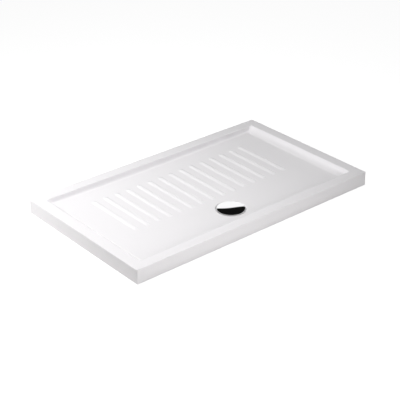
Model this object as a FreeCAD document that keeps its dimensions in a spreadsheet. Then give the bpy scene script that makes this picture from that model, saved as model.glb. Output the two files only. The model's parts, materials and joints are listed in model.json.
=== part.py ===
import FreeCAD, Part

# Shower tray of glazed fireclay with anti-slip ribs, and the low waste and trap that hang in it.
#
# The tray is bedded on the plane z = 0 with its centre at the origin. X runs along its long side,
# +Y points to its back and +Z up. The drain is near the front. Its trap hangs below z = 0, in the
# pocket that a shower floor has there, and the waste pipe leaves it towards the back.
# Every length is in millimetres, every angle in degrees.

import math
import os
import re

import Sketcher

# ---------------------------------------------------------------- sizes
SIZES = [
    # the fireclay tray
    ("tray_length", 1200, "outside, along X"),
    ("tray_depth", 700, "outside, along Y"),
    ("tray_height", 60, "bedding plane to rim"),
    ("rim_width", 48, "flat rim round the basin"),
    ("outer_corner_radius", 5, "upright outer edges"),
    ("rim_edge_radius", 3, "outer top edge"),
    ("mouth_edge_radius", 4, "edge between rim and basin"),
    ("long_wall_lean", 15, "basin's front and back walls, from upright"),
    ("short_wall_lean", 36, "basin's end walls, from upright"),
    ("end_cove_radius", 38, "end wall into the floor"),
    ("foot_radius", 10, "front and back walls into floor and end walls"),
    ("drain_from_front", 172, "tray's front to the drain's axis"),
    ("floor_at_drain", 27, "height of the floor at the drain recess"),
    ("floor_fall", 0.017, "rise of the floor per millimetre from the drain"),
    ("floor_thickness", 12, "fireclay under the floor"),
    ("skirt_thickness", 16, "outside wall under the rim"),
    ("web_thickness", 10, "stiffening webs of the underside"),
    ("cells_along", 10, "hollows of the underside along X"),
    ("cells_deep", 6, "hollows of the underside along Y"),
    # the anti-slip ribs
    ("rib_count", 15, "ribs side by side"),
    ("rib_pitch", 56, "from rib to rib"),
    ("rib_height", 2.5, "crown above the floor"),
    ("rib_crown_radius", 26, "roundness of a rib across and at its ends"),
    ("rib_drain_gap", 36.5, "drain recess to the ribs"),
    ("rib_back_gap", 93, "ribs to the basin's back mouth edge"),
    # the drain recess in the fireclay
    ("recess_radius", 61.5, "round recess for the waste"),
    ("recess_depth", 7, "recess below the floor"),
    ("recess_edge_radius", 2.5, "glazed edge of the recess"),
    ("hole_radius", 45, "waste hole"),
    ("ledge_thickness", 12, "fireclay under the waste's flange"),
    ("boss_width", 9, "thick ring round the waste hole, beyond the recess"),
    ("waste_room_gap", 4, "webs to the trap, its outlet and its nut"),
    # the waste's flange, its seals and its screws
    ("gasket_margin", 1, "gaskets stand back from the edges they seal"),
    ("flange_gasket_thickness", 1.5, "seal between flange and ledge"),
    ("flange_gap", 4.5, "recess wall to the flange's edge"),
    ("flange_thickness", 2, "pressed steel"),
    ("flange_edge_radius", 0.8, "pressed edges of the flange"),
    ("collar_bore_radius", 30, "opening that the insert drops into"),
    ("collar_length", 14.5, "collar below the flange"),
    ("lip_width", 3, "inward lip at the collar's foot"),
    ("screw_count", 3, "screws through the flange"),
    ("screw_circle_radius", 38.5, "screws from the drain's axis"),
    ("screw_radius", 2.5, "M5 shank"),
    ("screw_length", 18, "under the head"),
    ("screw_head_radius", 4.6, "pan head"),
    ("screw_head_height", 2.8, "pan head"),
    ("screw_head_round", 1.6, "pan head"),
    ("screw_hole_gap", 0.3, "shank to the holes that it passes"),
    ("thread_gap", 0.05, "shank to the brass insert's bore"),
    ("nut_insert_radius", 3.6, "brass insert, outside"),
    ("nut_insert_length", 9, "brass insert"),
    # the trap's body
    ("body_gasket_thickness", 3, "seal between the body and the tray's underside"),
    ("body_flange_thickness", 4, "body's top ring"),
    ("body_flange_radius", 60, "body's top ring"),
    ("bowl_radius", 43, "inside of the bowl"),
    ("bowl_depth", 48, "inside of the bowl"),
    ("bowl_wall", 2.5, "moulded wall of the bowl"),
    ("bowl_round", 9, "bowl's wall into its floor, outside"),
    ("screw_boss_radius", 5.6, "posts that hold the brass inserts"),
    ("screw_boss_gap", 4.5, "post's top to the flange"),
    ("screw_boss_length", 25, "post"),
    # the outlet for the waste pipe
    ("outlet_bore_radius", 18, "waterway of the outlet"),
    ("outlet_sill", 1.5, "bowl's floor to the outlet's waterway"),
    ("socket_radius", 20.2, "socket for a 40 mm pipe"),
    ("socket_depth", 22, "how far the pipe goes in"),
    ("outlet_wall", 3.2, "wall of the socket"),
    ("outlet_reach", 87, "drain's axis to the socket's mouth"),
    ("outlet_stop_width", 3, "ring behind the thread"),
    ("outlet_stop_rise", 2.6, "ring behind the thread"),
    ("nut_wall", 4, "wall of the pipe nut"),
    ("nut_length", 24, "pipe nut"),
    ("nut_gap", 0.3, "nut to the outlet's thread"),
    ("nut_grip_count", 12, "grip ribs round the nut"),
    ("nut_grip_height", 1.8, "grip ribs"),
    ("nut_grip_width", 5, "grip ribs"),
    ("cone_seal_length", 6, "wedge seal round the pipe"),
    ("cone_seal_gap", 0.15, "wedge seal to the pipe's way"),
    ("cone_seal_taper", 1.6, "how much the wedge narrows"),
    ("slip_washer_thickness", 1.2, "between seal and nut"),
    ("slip_washer_gap", 0.4, "slip washer and nut to the pipe's way"),
    # the lift-out trap insert
    ("insert_gap", 0.4, "insert to the collar"),
    ("insert_rim_height", 9.5, "insert's rim above the lip"),
    ("insert_wall", 1.5, "moulded wall"),
    ("insert_neck_gap", 0.7, "insert's neck to the lip"),
    ("o_ring_radius", 1.3, "section of the seal ring"),
    ("o_ring_gap", 0.05, "seal ring to the collar"),
    ("o_ring_level", 4.6, "seal ring's centre above the lip"),
    ("groove_gap", 0.15, "seal ring to the sides of its groove"),
    ("funnel_depth", 12, "slope of the funnel below the lip"),
    ("tube_radius", 15, "dip tube, outside"),
    ("tube_length", 27, "dip tube below the funnel"),
    ("cup_radius", 26, "water cup, outside"),
    ("cup_clearance", 2.5, "cup to the bowl's floor"),
    ("cup_height", 33, "water cup"),
    ("cup_round", 3, "cup's wall into its floor"),
    ("fin_count", 3, "fins that carry the cup"),
    ("fin_thickness", 2, "fins that carry the cup"),
    ("fin_height", 22, "fins that carry the cup"),
    # the hair strainer
    ("strainer_gap", 0.5, "strainer to the insert's rim"),
    ("strainer_thickness", 1.6, "strainer's plate"),
    ("strainer_seat", 5, "strainer's seat below the insert's rim"),
    ("strainer_dish", 3, "how much the plate is dished"),
    ("strainer_hub_radius", 6, "flat middle of the plate"),
    ("strainer_hole_radius", 2.4, "holes of the plate"),
    ("strainer_inner_holes", 6, "holes of the inner ring"),
    ("strainer_outer_holes", 14, "holes of the outer ring"),
    ("strainer_inner_circle", 9, "inner ring of holes"),
    ("strainer_outer_circle", 17.5, "outer ring of holes"),
    ("strainer_knob_radius", 3.2, "knob to lift it by"),
    ("strainer_knob_height", 6.5, "knob to lift it by"),
    ("strainer_stem_radius", 1.92, "stem under the knob"),
    # the cover and the carrier under it
    ("cover_gap", 3.5, "recess wall to the cover's edge"),
    ("cover_edge_lift", 1, "cover's edge above the floor"),
    ("cover_dome_rise", 5.5, "cover's middle above its edge"),
    ("cover_thickness", 1.5, "pressed and chromed metal"),
    ("cover_skirt_height", 2.6, "turned-down edge of the cover"),
    ("cover_edge_radius", 1.1, "rounded edge of the cover"),
    ("cover_boss_radius", 7, "boss under the cover's middle"),
    ("carrier_pin_radius", 4.9, "pin pressed into the cover's boss"),
    ("carrier_pin_gap", 0.05, "pin to boss"),
    ("carrier_hub_radius", 11, "hub of the carrier"),
    ("carrier_foot_height", 1.2, "feet that stand on the flange"),
    ("carrier_thickness", 2, "arms and ring of the carrier"),
    ("carrier_arm_count", 3, "arms of the carrier"),
    ("carrier_arm_width", 9, "arms of the carrier"),
    ("carrier_reach_gap", 5, "carrier's feet to the flange's edge"),
    ("carrier_foot_width", 5, "feet and stiffening ring"),
    ("carrier_finger_length", 4.6, "fingers that centre the cover"),
    ("carrier_finger_width", 2.4, "fingers that centre the cover"),
    ("carrier_finger_gap", 0.8, "fingers to the collar"),
]
NAMES = {name for name, _, _ in SIZES}

doc = FreeCAD.newDocument("shower_tray")
sheet = doc.addObject("Spreadsheet::Sheet", "sizes")
for row, (name, number, note) in enumerate(SIZES, start=1):
    sheet.set(f"A{row}", name)
    sheet.set(f"B{row}", str(number))
    sheet.set(f"C{row}", note)
    sheet.setAlias(f"B{row}", name)
doc.recompute()

# Heights and radii that follow from the sizes, as formulas in the sizes' own names.
DRAIN_Y = "(drain_from_front - tray_depth / 2)"
MOUTH_HALF_LENGTH = "(tray_length / 2 - rim_width)"
MOUTH_HALF_DEPTH = "(tray_depth / 2 - rim_width)"
LEDGE = "(floor_at_drain - recess_depth)"
BOSS_UNDER = f"({LEDGE} - ledge_thickness)"
BOSS_RADIUS = "(recess_radius + boss_width)"
FLANGE_UNDER = f"({LEDGE} + flange_gasket_thickness)"
FLANGE_TOP = f"({FLANGE_UNDER} + flange_thickness)"
FLANGE_RADIUS = "(recess_radius - flange_gap)"
COLLAR_RADIUS = "(collar_bore_radius + flange_thickness)"
COLLAR_END = f"({FLANGE_UNDER} - collar_length)"
LIP_RADIUS = "(collar_bore_radius - lip_width)"
LIP_TOP = f"({COLLAR_END} + flange_thickness)"
SCREW_BOSS_TOP = f"({FLANGE_UNDER} - screw_boss_gap)"
BODY_TOP = f"({BOSS_UNDER} - body_gasket_thickness)"
BOWL_FLOOR = f"({BODY_TOP} - bowl_depth)"
BOWL_UNDER = f"({BOWL_FLOOR} - bowl_wall)"
BOWL_RADIUS = "(bowl_radius + bowl_wall)"
OUTLET_LEVEL = f"({BOWL_FLOOR} + outlet_sill + outlet_bore_radius)"
OUTLET_RADIUS = "(socket_radius + outlet_wall)"
OUTLET_START = "(bowl_radius / 2)"
SEAL_END = "(outlet_reach + cone_seal_length)"
WASHER_END = f"({SEAL_END} + slip_washer_thickness)"
NUT_END = f"({WASHER_END} + nut_wall)"
NUT_START = f"({NUT_END} - nut_length)"
NUT_RADIUS = f"({OUTLET_RADIUS} + nut_gap + nut_wall)"
INSERT_RADIUS = "(collar_bore_radius - insert_gap)"
INSERT_RIM = f"({LIP_TOP} + insert_rim_height)"
O_RING_LEVEL = f"({LIP_TOP} + o_ring_level)"
O_RING_OUTSIDE = "(collar_bore_radius - o_ring_gap)"
GROOVE_RADIUS = f"({O_RING_OUTSIDE} - 2 * o_ring_radius)"
NECK_RADIUS = f"({LIP_RADIUS} - insert_neck_gap)"
FUNNEL_END = f"({COLLAR_END} - funnel_depth)"
TUBE_END = f"({FUNNEL_END} - tube_length)"
CUP_UNDER = f"({BOWL_FLOOR} + cup_clearance)"
CUP_FLOOR = f"({CUP_UNDER} + insert_wall)"
CUP_BORE = "(cup_radius - insert_wall)"
CUP_RIM = f"({CUP_UNDER} + cup_height)"
STRAINER_SEAT = f"({INSERT_RIM} - strainer_seat)"
INSERT_THROAT = f"({GROOVE_RADIUS} - insert_wall)"
STRAINER_RADIUS = f"({INSERT_THROAT} - strainer_gap)"
STRAINER_LEDGE = f"({NECK_RADIUS} - 2 * insert_wall)"
COVER_RADIUS = "(recess_radius - cover_gap)"
COVER_EDGE_TOP = "(floor_at_drain + cover_edge_lift)"
COVER_TOP = f"({COVER_EDGE_TOP} + cover_dome_rise)"
DOME_RADIUS = f"(({COVER_RADIUS}^2 + cover_dome_rise^2) / (2 * cover_dome_rise))"
DOME_CENTRE = f"({COVER_TOP} - {DOME_RADIUS})"
CARRIER_UNDER = f"({FLANGE_TOP} + carrier_foot_height)"
CARRIER_TOP = f"({CARRIER_UNDER} + carrier_thickness)"
CARRIER_RADIUS = f"({FLANGE_RADIUS} - carrier_reach_gap)"
BEYOND = 5      # how far a cutting shape runs past the face it cuts


def bound(formula):
    """The formula with each size's name led by the name of its sheet."""
    return re.sub(r"[a-z_]+", lambda word: f"sizes.{word[0]}" if word[0] in NAMES else word[0], str(formula))


def value(formula):
    """The number that a formula of sizes gives."""
    number = sheet.evalExpression(bound(formula))
    return float(getattr(number, "Value", number))


def floor_height(x, y):
    """Formula for the height of the basin's conical floor at a point, less any rib."""
    reach = f"sqrt(({x})^2 + ({y} - {DRAIN_Y})^2)"
    return f"(floor_at_drain + floor_fall * ({reach} - recess_radius))"


# ---------------------------------------------------------------- helpers for bodies and sketches
def new_body(name, label=None, place=None):
    """A body with its Placement bound to formulas: place is (x, y, z) and maybe a turn about X."""
    body = doc.addObject("PartDesign::Body", name)
    body.Label = label or name
    if place:
        x, y, z, *turn = place
        spin = turn[0] if turn else 0
        body.setExpression("Placement", bound(
            f"placement(vector({x}; {y}; {z}); rotation(vector(1; 0; 0); {spin}))"))
    return body


def new_sketch(body, name, plane="XY_Plane", height=None):
    """A sketch on one of the body's own origin planes, or at a height above it."""
    sketch = body.newObject("Sketcher::SketchObject", name)
    support = [item for item in body.Origin.OriginFeatures if item.Role == plane][0]
    sketch.AttachmentSupport = [(support, "")]
    sketch.MapMode = "FlatFace"
    if height is not None:
        sketch.setExpression("AttachmentOffset.Base.z", bound(height))
    return sketch


def pin_point(sketch, edge, end, x, y):
    """Hold a sketch point at two formulas, measured from the sketch's origin."""
    for kind, axis, formula in (("DistanceX", -2, x), ("DistanceY", -1, y)):
        if abs(value(formula)) < 1e-9:
            sketch.addConstraint(Sketcher.Constraint("PointOnObject", edge, end, axis))
            continue
        number = sketch.addConstraint(Sketcher.Constraint(kind, -1, 1, edge, end, value(formula)))
        sketch.setExpression(f"Constraints[{number}]", bound(formula))


def draw_outline(sketch, corners):
    """A closed outline through corners (x, y), or (x, y, radius) where an arc leads to the next
    corner. A positive radius bulges to the left of the way there, a negative one to the right."""
    numbers = [(value(corner[0]), value(corner[1])) for corner in corners]
    first = sketch.GeometryCount
    count = len(corners)
    for index, corner in enumerate(corners):
        start = FreeCAD.Vector(*numbers[index], 0)
        end = FreeCAD.Vector(*numbers[(index + 1) % count], 0)
        if len(corner) == 3:
            sketch.addGeometry(arc_between(start, end, value(corner[2])), False)
        else:
            sketch.addGeometry(Part.LineSegment(start, end), False)
    for index, corner in enumerate(corners):
        edge = first + index
        start, end = edge_ends(sketch, edge, numbers[index])
        following = first + (index + 1) % count
        next_start, _ = edge_ends(sketch, following, numbers[(index + 1) % count])
        sketch.addConstraint(Sketcher.Constraint("Coincident", edge, end, following, next_start))
        pin_point(sketch, edge, start, corner[0], corner[1])
        if len(corner) == 3:
            number = sketch.addConstraint(Sketcher.Constraint("Radius", edge, abs(value(corner[2]))))
            sketch.setExpression(f"Constraints[{number}]", bound(f"abs({corner[2]})"))


def edge_ends(sketch, edge, start):
    """Which of an edge's two end points is its start, and which the other."""
    point = sketch.getPoint(edge, 1)
    begins = math.dist((point.x, point.y), start) < 1e-6
    return (1, 2) if begins else (2, 1)


def arc_between(start, end, radius):
    """The short arc of this radius from start to end."""
    middle = (start + end) / 2
    half = (end - start) / 2
    side = math.copysign(1, radius)
    left = FreeCAD.Vector(-half.y, half.x, 0).normalize() * side
    sagitta = abs(radius) - math.sqrt(radius ** 2 - half.Length ** 2)
    return Part.Arc(start, middle + left * sagitta, end)


def axis_line(sketch, start, end):
    """A construction line that a turned shape takes as its axis."""
    index = sketch.addGeometry(Part.LineSegment(FreeCAD.Vector(value(start[0]), value(start[1]), 0),
                                                FreeCAD.Vector(value(end[0]), value(end[1]), 0)), True)
    pin_point(sketch, index, 1, *start)
    pin_point(sketch, index, 2, *end)


def turn(body, name, corners, plane="XZ_Plane", cut=False, axis=None):
    """Turn an outline about the body's upright axis, or about a line given in the sketch."""
    sketch = new_sketch(body, f"{name}_outline", plane)
    draw_outline(sketch, corners)
    if axis:
        axis_line(sketch, *axis)
    feature = body.newObject("PartDesign::Groove" if cut else "PartDesign::Revolution", name)
    feature.Profile = sketch
    feature.ReferenceAxis = (sketch, ["Axis0" if axis else "V_Axis"])
    feature.Angle = 360
    return feature


def turned_part(name, corners, x="0", y=DRAIN_Y):
    """A part that is round about an upright axis, by default the drain's."""
    body = new_body(name, place=(x, y, "0"))
    turn(body, f"{name}_turned", corners)
    return body


def outlet_part(name, corners):
    """A part that is round about the outlet: its outline's heights are distances from the drain."""
    body = new_body(name, place=("0", DRAIN_Y, OUTLET_LEVEL, "-90"))
    turn(body, f"{name}_turned", corners)
    return body


def ring(inner, outer, low, high):
    """Half section of a plain ring."""
    return [(inner, low), (outer, low), (outer, high), (inner, high)]


def add_pad(body, name, sketch, length, cut=False, reverse=False):
    """Pad or pocket a sketch by a formula's length."""
    feature = body.newObject("PartDesign::Pocket" if cut else "PartDesign::Pad", name)
    feature.Profile = sketch
    feature.Reversed = reverse
    feature.setExpression("Length", bound(length))
    return feature


def draw_circle(sketch, radius, x="0", y="0"):
    """A circle held at its centre and by its radius."""
    index = sketch.addGeometry(Part.Circle(FreeCAD.Vector(value(x), value(y), 0), FreeCAD.Vector(0, 0, 1),
                                           value(radius)), False)
    pin_point(sketch, index, 3, x, y)
    number = sketch.addConstraint(Sketcher.Constraint("Radius", index, value(radius)))
    sketch.setExpression(f"Constraints[{number}]", bound(radius))


def draw_circles(sketch, radius, circle, count):
    """Equal circles evenly round the sketch's origin, the first of them to the front."""
    for index in range(int(value(count))):
        angle = f"(360 / {count} * {index} - 90)"
        draw_circle(sketch, radius, f"({circle} * cos({angle}))", f"({circle} * sin({angle}))")


def draw_spokes(sketch, half_width, low, high, count, tip_half_width=None):
    """Equal spokes evenly round the sketch's origin, the first of them to the back."""
    tip = tip_half_width or half_width
    for index in range(int(value(count))):
        angle = f"(360 / {count} * {index})"
        corners = []
        for across, along in ((f"(-{half_width})", low), (half_width, low), (tip, high), (f"(-{tip})", high)):
            corners.append((f"({across} * cos({angle}) - {along} * sin({angle}))",
                            f"({across} * sin({angle}) + {along} * cos({angle}))"))
        draw_outline(sketch, corners)


def draw_box(sketch, half_x, half_y, x="0", y="0"):
    """A rectangle about a centre."""
    draw_outline(sketch, [(f"{x} - {half_x}", f"{y} - {half_y}"), (f"{x} + {half_x}", f"{y} - {half_y}"),
                          (f"{x} + {half_x}", f"{y} + {half_y}"), (f"{x} - {half_x}", f"{y} + {half_y}")])


def edges_where(shape, test):
    """Names of the edges whose points all pass the test."""
    names = []
    for index, edge in enumerate(shape.Edges, start=1):
        if not edge.Degenerated and all(test(point) for point in edge.discretize(5)):
            names.append(f"Edge{index}")
    return names


def round_edges(body, name, radius, test):
    """Round the edges of the body's last shape that pass the test."""
    doc.recompute()
    last = body.Tip
    fillet = body.newObject("PartDesign::Fillet", name)
    fillet.Base = (last, edges_where(last.Shape, test))
    fillet.setExpression("Radius", bound(radius))
    doc.recompute()
    return fillet


def near(a, b, slack=0.01):
    return abs(a - b) < slack


def boolean(kind, name, base, tool):
    """Part::Cut or Part::Common of two objects."""
    result = doc.addObject(kind, name)
    result.Base = base
    result.Tool = tool
    return result


def fused(name, pieces):
    result = doc.addObject("Part::MultiFuse", name)
    result.Shapes = pieces
    return result


def grouped(name, pieces):
    """Separate solids that make one part, such as a set of equal screws."""
    result = doc.addObject("Part::Compound", name)
    result.Links = pieces
    return result


# ---------------------------------------------------------------- the fireclay tray
def tray_block():
    """The tray's outside, before anything is hollowed from it."""
    body = new_body("tray_block")
    sketch = new_sketch(body, "tray_plan")
    draw_box(sketch, "tray_length / 2", "tray_depth / 2")
    add_pad(body, "tray_pad", sketch, "tray_height")
    half_length = value("tray_length / 2")
    half_depth = value("tray_depth / 2")
    top = value("tray_height")
    round_edges(body, "outer_corners", "outer_corner_radius",
                lambda p: near(abs(p.x), half_length) and near(abs(p.y), half_depth))
    round_edges(body, "rim_edge", "rim_edge_radius", lambda p: near(p.z, top))
    return body


def cut_cone(body, name, drop, above):
    """Turn away all that lies above or below the floor's cone, or a cone that lies a drop lower."""
    reach = "tray_length"
    level = f"(floor_at_drain - floor_fall * recess_radius - {drop})"
    far = "(2 * tray_height)" if above else "(-tray_height)"
    sketch = new_sketch(body, f"{name}_section", "YZ_Plane")
    draw_outline(sketch, [(DRAIN_Y, level), (DRAIN_Y, far), (f"{DRAIN_Y} - {reach}", far),
                          (f"{DRAIN_Y} - {reach}", f"{level} + floor_fall * {reach}")])
    axis_line(sketch, (DRAIN_Y, level), (DRAIN_Y, far))
    groove = body.newObject("PartDesign::Groove", name)
    groove.Profile = sketch
    groove.ReferenceAxis = (sketch, ["Axis0"])
    groove.Angle = 360


def basin_void():
    """The room of the basin: four leaning walls over a floor that falls to the drain like a cone."""
    body = new_body("basin_void")
    sections = []
    for name, level in (("basin_mouth", f"(tray_height + {BEYOND})"), ("basin_root", "(floor_at_drain / 2)")):
        sketch = new_sketch(body, name, height=level)
        rise = f"({level} - tray_height)"
        draw_box(sketch, f"({MOUTH_HALF_LENGTH} + {rise} * tan(short_wall_lean))",
                 f"({MOUTH_HALF_DEPTH} + {rise} * tan(long_wall_lean))")
        sections.append(sketch)
    loft = body.newObject("PartDesign::AdditiveLoft", "basin_walls")
    loft.Profile = sections[0]
    loft.Sections = [sections[1]]
    loft.Ruled = True
    cut_cone(body, "floor_cone", "0", above=False)
    top = value("tray_height")
    half_length = value(MOUTH_HALF_LENGTH)
    half_depth = value(MOUTH_HALF_DEPTH)
    short_slope = math.tan(math.radians(value("short_wall_lean")))
    long_slope = math.tan(math.radians(value("long_wall_lean")))

    def on_end_wall(p):
        return near(abs(p.x), half_length + (p.z - top) * short_slope)

    def on_long_wall(p):
        return near(abs(p.y), half_depth + (p.z - top) * long_slope)

    def on_floor(p):
        return near(p.z, value(floor_height(p.x, p.y)))

    round_edges(body, "end_coves", "end_cove_radius", lambda p: on_end_wall(p) and on_floor(p))
    round_edges(body, "wall_feet", "foot_radius",
                lambda p: on_long_wall(p) and p.z < top + BEYOND + 0.01 and not near(p.z, top + BEYOND)
                or on_long_wall(p) and on_end_wall(p))
    return body


def rib(index):
    """One anti-slip rib: a round bar with round ends, sunk until only its crown stands proud."""
    x = f"(({index} - (rib_count - 1) / 2) * rib_pitch)"
    end_reach = "sqrt(2 * rib_crown_radius * rib_height - rib_height^2)"
    front = f"({DRAIN_Y} + recess_radius + rib_drain_gap + {end_reach})"
    back = f"({MOUTH_HALF_DEPTH} - rib_back_gap - {end_reach})"
    sink = "(rib_height - rib_crown_radius)"
    low = f"({floor_height(x, front)} + {sink})"
    high = f"({floor_height(x, back)} + {sink})"
    length = f"hypot({back} - {front}; {high} - {low})"
    tilt = f"(atan2({high} - {low}; {back} - {front}) - 90 deg)"
    body = new_body(f"rib_{index}", place=(x, front, low, tilt))
    turn(body, f"rib_{index}_bar", [
        ("0", "(-rib_crown_radius)", "(-rib_crown_radius)"), ("rib_crown_radius", "0"),
        ("rib_crown_radius", length, "(-rib_crown_radius)"), ("0", f"({length} + rib_crown_radius)")])
    return body


def underside_hollows():
    """The hollows under the floor: the room inside the skirt, less the webs and the waste's boss."""
    room = new_body("underside_room")
    plan = new_sketch(room, "underside_plan", height=f"(-{BEYOND})")
    room_length = "(tray_length - 2 * skirt_thickness)"
    room_depth = "(tray_depth - 2 * skirt_thickness)"
    draw_box(plan, f"{room_length} / 2", f"{room_depth} / 2")
    add_pad(room, "underside_pad", plan, f"tray_height + {BEYOND}")
    cut_cone(room, "ceiling_cone", "floor_thickness", above=True)
    clear = waste_room()
    for letter, count, across, along in (("x", "cells_along", room_length, room_depth),
                                         ("y", "cells_deep", room_depth, room_length)):
        pitch = f"(({across} + web_thickness) / {count})"
        webs = []
        for index in range(1, int(value(count))):
            place = f"(({index} - {count} / 2) * {pitch} - web_thickness / 2)"
            low = f"(-{along} / 2)"
            x, y = (place, low) if letter == "x" else (low, place)
            size_x, size_y = ("web_thickness", along) if letter == "x" else (along, "web_thickness")
            webs.append(block(f"web_{letter}{index}", x, y, "0", size_x, size_y, "tray_height"))
        clear_webs = boolean("Part::Cut", f"clear_webs_{letter}", grouped(f"webs_{letter}", webs), clear)
        room = boolean("Part::Cut", f"room_less_webs_{letter}", room, clear_webs)
    boss = cylinder("waste_boss", BOSS_RADIUS, BOSS_UNDER, "tray_height")
    return boolean("Part::Cut", "underside_hollows", room, boss)


def waste_room():
    """Where no web may run: round the trap, and along its outlet as far as the pipe nut."""
    reach = f"({NUT_RADIUS} + nut_grip_height + waste_room_gap)"
    bowl = cylinder("bowl_room", f"({BOSS_RADIUS} + waste_room_gap)", f"(-{BEYOND})", "tray_height")
    outlet = block("outlet_room", f"(-{reach})", DRAIN_Y, f"(-{BEYOND})",
                   f"(2 * {reach})", f"({NUT_END} + waste_room_gap)", "tray_height")
    return fused("waste_room", [bowl, outlet])


def block(name, x, y, z, size_x, size_y, size_z):
    """A box by its lowest corner and its three sizes."""
    item = doc.addObject("Part::Box", name)
    for side, formula in (("Length", size_x), ("Width", size_y), ("Height", size_z)):
        item.setExpression(side, bound(formula))
    item.setExpression("Placement", bound(
        f"placement(vector({x}; {y}; {z}); rotation(vector(0; 0; 1); 0))"))
    return item


def cylinder(name, radius, low, height):
    """An upright cylinder on the drain's axis."""
    item = doc.addObject("Part::Cylinder", name)
    item.setExpression("Radius", bound(radius))
    item.setExpression("Height", bound(height))
    item.setExpression("Placement", bound(
        f"placement(vector(0; {DRAIN_Y}; {low}); rotation(vector(0; 0; 1); 0))"))
    return item


def make_tray_body():
    """The fireclay: block, basin with its ribs, hollow underside, then the drain's recess and hole."""
    ribs = grouped("ribs", [rib(index) for index in range(int(value("rib_count")))])
    basin = boolean("Part::Cut", "ribbed_basin", basin_void(), ribs)
    shell = boolean("Part::Cut", "tray_shell", tray_block(), basin)
    hollow = boolean("Part::Cut", "hollow_tray", shell, underside_hollows())
    drain = turned_part("drain_room", [
        ("0", f"-{BEYOND}"), ("hole_radius", f"-{BEYOND}"), ("hole_radius", LEDGE),
        ("recess_radius", LEDGE), ("recess_radius", "tray_height"), ("0", "tray_height")])
    drained = boolean("Part::Cut", "drained_tray", hollow, drain)
    doc.recompute()
    body = doc.addObject("PartDesign::Body", "tray_body")
    body.BaseFeature = drained
    half_length = value(MOUTH_HALF_LENGTH)
    half_depth = value(MOUTH_HALF_DEPTH)
    top = value("tray_height")
    axis_y = value(DRAIN_Y)
    round_edges(body, "mouth_edge", "mouth_edge_radius",
                lambda p: near(p.z, top) and abs(p.x) < half_length + 1 and abs(p.y) < half_depth + 1)
    round_edges(body, "recess_edge", "recess_edge_radius",
                lambda p: near(math.hypot(p.x, p.y - axis_y), value("recess_radius"))
                and p.z > value(LEDGE) + 1)
    return body


# ---------------------------------------------------------------- flange, seals and screws
def make_waste_flange():
    """A pressed ring that clamps the waste into the recess, with the collar for the insert."""
    body = turned_part("waste_flange", [
        (LIP_RADIUS, COLLAR_END), (COLLAR_RADIUS, COLLAR_END), (COLLAR_RADIUS, FLANGE_UNDER),
        (FLANGE_RADIUS, FLANGE_UNDER), (FLANGE_RADIUS, FLANGE_TOP), ("collar_bore_radius", FLANGE_TOP),
        ("collar_bore_radius", LIP_TOP), (LIP_RADIUS, LIP_TOP)])
    rims = (value("collar_bore_radius"), value(FLANGE_RADIUS))
    top = value(FLANGE_TOP)
    round_edges(body, "flange_edges", "flange_edge_radius",
                lambda p: near(p.z, top) and any(near(math.hypot(p.x, p.y), rim) for rim in rims))
    sketch = new_sketch(body, "screw_hole_plan", height=FLANGE_TOP)
    draw_circles(sketch, "(screw_radius + screw_hole_gap)", "screw_circle_radius", "screw_count")
    add_pad(body, "screw_holes", sketch, f"flange_thickness + {BEYOND}", cut=True)
    return body


def make_flange_gasket():
    return turned_part("flange_gasket", ring("(hole_radius + gasket_margin)",
                                             f"({FLANGE_RADIUS} - gasket_margin)", LEDGE, FLANGE_UNDER))


def make_body_gasket():
    return turned_part("body_gasket", ring("(hole_radius + gasket_margin)",
                                           "(body_flange_radius - gasket_margin)", BODY_TOP, BOSS_UNDER))


def screw_place(index):
    """Formulas for the place of a screw: the first is at the front, the rest evenly round."""
    angle = f"(360 / screw_count * {index} - 90)"
    return f"(screw_circle_radius * cos({angle}))", f"({DRAIN_Y} + screw_circle_radius * sin({angle}))"


def make_flange_screws():
    head_top = f"({FLANGE_TOP} + screw_head_height)"
    outline = [
        ("0", f"({FLANGE_TOP} - screw_length)"), ("screw_radius", f"({FLANGE_TOP} - screw_length)"),
        ("screw_radius", FLANGE_TOP), ("screw_head_radius", FLANGE_TOP),
        ("screw_head_radius", f"({head_top} - screw_head_round)", "(-screw_head_round)"),
        ("(screw_head_radius - screw_head_round)", head_top), ("0", head_top)]
    screws = []
    for index in range(int(value("screw_count"))):
        x, y = screw_place(index)
        screws.append(turned_part(f"screw_{index}", outline, x, y))
    return grouped("flange_screws", screws)


def make_screw_inserts():
    outline = ring("(screw_radius + thread_gap)", "nut_insert_radius",
                   f"({SCREW_BOSS_TOP} - nut_insert_length)", SCREW_BOSS_TOP)
    inserts = []
    for index in range(int(value("screw_count"))):
        x, y = screw_place(index)
        inserts.append(turned_part(f"brass_{index}", outline, x, y))
    return grouped("screw_inserts", inserts)


# ---------------------------------------------------------------- the trap's body and its outlet
def bowl_outside():
    """Outline of the bowl's outside, from its underside up to its top ring."""
    flange_under = f"({BODY_TOP} - body_flange_thickness)"
    return [
        ("0", BOWL_UNDER), (f"({BOWL_RADIUS} - bowl_round)", BOWL_UNDER, "-bowl_round"),
        (BOWL_RADIUS, f"({BOWL_UNDER} + bowl_round)"), (BOWL_RADIUS, flange_under),
        ("body_flange_radius", flange_under), ("body_flange_radius", BODY_TOP), ("0", BODY_TOP)]


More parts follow.
